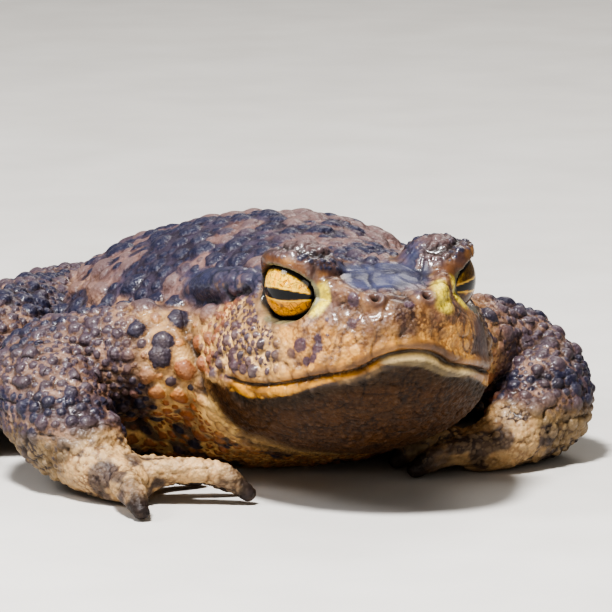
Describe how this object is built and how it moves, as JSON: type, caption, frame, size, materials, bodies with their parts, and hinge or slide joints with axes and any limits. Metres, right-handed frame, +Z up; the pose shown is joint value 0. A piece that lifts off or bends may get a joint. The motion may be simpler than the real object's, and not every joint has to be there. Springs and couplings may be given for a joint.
{
  "type": "common toad",
  "caption": "Life-size still model of an adult common toad crouching on the floor, head raised, with warty skin, parotoid glands and golden eyes.",
  "frame": {"origin": "on the floor under the centre of the whole animal's box", "axes": "+Z up, the toad looks along -Y, its left side is +X"},
  "size_m": [0.0844, 0.096, 0.0314],
  "materials": {
    "warty_skin": "moist warty skin, olive brown with blue-grey and orange-brown warts",
    "throat_skin": "fine-grained pale throat skin",
    "eye": "wet golden eye with a dark level slit"
  },
  "bodies": {
    "root": {"head": "warty_skin", "jaw": "throat_skin", "torso": "warty_skin", "eye_left": "eye", "eye_right": "eye", "upper_arm_left": "warty_skin", "upper_arm_right": "warty_skin", "forearm_left": "warty_skin", "forearm_right": "warty_skin", "hand_left": "warty_skin", "hand_right": "warty_skin", "thigh_left": "warty_skin", "thigh_right": "warty_skin", "shank_left": "warty_skin", "shank_right": "warty_skin", "foot_left": "warty_skin", "foot_right": "warty_skin"}
  },
  "joints": []
}
